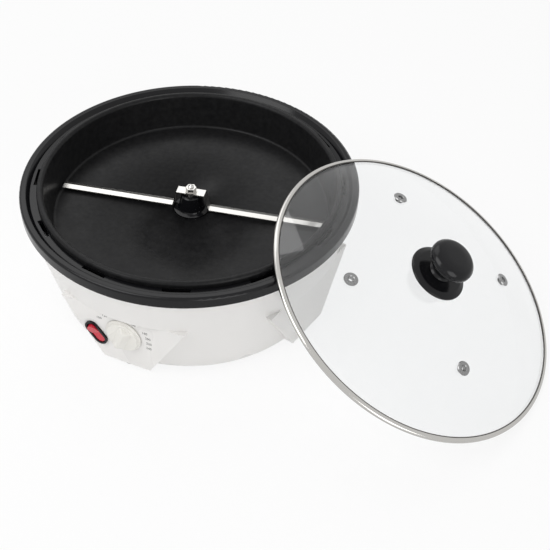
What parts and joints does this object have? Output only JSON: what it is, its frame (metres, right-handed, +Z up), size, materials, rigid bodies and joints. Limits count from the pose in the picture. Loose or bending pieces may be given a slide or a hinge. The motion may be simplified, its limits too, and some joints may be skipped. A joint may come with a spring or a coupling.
{
  "type": "coffee bean roaster",
  "caption": "Household coffee bean roaster: tapering white housing, open black pan with a turning stirring arm, dial and rocker switch, lift-off domed glass lid.",
  "frame": {"origin": "on the roaster's axis at the underside of the bottom cover; the rubber feet reach 3 mm below it", "axes": "+Z up along the stirring arm's axis; the control panel faces 112 degrees clockwise from +X seen from above, towards -Y"},
  "size_m": [0.4603, 0.3593, 0.1294],
  "materials": {
    "housing_plastic": "warm white moulded plastic, semi-gloss",
    "stainless": "bright stainless steel",
    "foot_rubber": "black rubber",
    "black_plastic": "black gloss phenolic plastic",
    "pan_coating": "black non-stick coating on aluminium",
    "aluminium_sheet": "plain aluminium sheet",
    "heater_steel": "dull heater sheath",
    "zinc_steel": "zinc plated steel",
    "dial_plastic": "cream moulded plastic",
    "red_plastic": "translucent red plastic",
    "lid_glass": "clear tempered glass"
  },
  "bodies": {
    "roaster": {"housing": "housing_plastic", "bottom_cover": "housing_plastic", "cover_screw_1": "stainless", "cover_screw_2": "stainless", "cover_screw_3": "stainless", "cover_screw_4": "stainless", "cover_screw_5": "stainless", "cover_screw_6": "stainless", "foot_front": "foot_rubber", "foot_right": "foot_rubber", "foot_rear": "foot_rubber", "foot_left": "foot_rubber", "top_ring": "black_plastic", "roasting_pan": "pan_coating", "shaft_hub": "black_plastic", "heat_shield": "aluminium_sheet", "heater": "heater_steel", "heater_post_1": "zinc_steel", "heater_post_2": "zinc_steel", "heater_post_3": "zinc_steel", "motor_can": "zinc_steel", "gearbox": "zinc_steel", "motor_bracket": "zinc_steel", "thermostat": "zinc_steel", "switch_body": "black_plastic", "cord_gland": "foot_rubber"},
    "stirrer": {"drive_shaft": "stainless", "stirrer_arm": "stainless", "arm_washer": "stainless", "arm_nut": "stainless"},
    "dial": {"thermostat_shaft": "stainless", "dial": "dial_plastic"},
    "rocker": {"rocker": "red_plastic"},
    "lid": {"lid_glass": "lid_glass", "lid_band": "stainless", "vent_grommet_1": "stainless", "vent_grommet_2": "stainless", "vent_grommet_3": "stainless", "vent_grommet_4": "stainless", "knob_flange": "black_plastic", "lid_knob": "black_plastic", "lid_screw": "stainless"}
  },
  "joints": [
    {"name": "stirrer_spin", "type": "hinge", "parent": "roaster", "child": "stirrer", "pos_m": [0, 0, 0.08], "axis": [0, 0, 1], "continuous": true},
    {"name": "dial_turn", "type": "hinge", "parent": "roaster", "child": "dial", "pos_m": [-0.04757, -0.11775, 0.035], "axis": [-0.3746, -0.9272, 0], "range_deg": [-270, 0]},
    {"name": "rocker_tilt", "type": "hinge", "parent": "roaster", "child": "rocker", "pos_m": [-0.07177, -0.1069, 0.027], "axis": [0.7501, -0.3031, 0.5878], "range_deg": [-20, 0]},
    {"name": "lid_lift", "type": "slide", "parent": "roaster", "child": "lid", "axis": [0.4362, -0.1736, 0.8829], "range_m": [0, 0.2]}
  ]
}
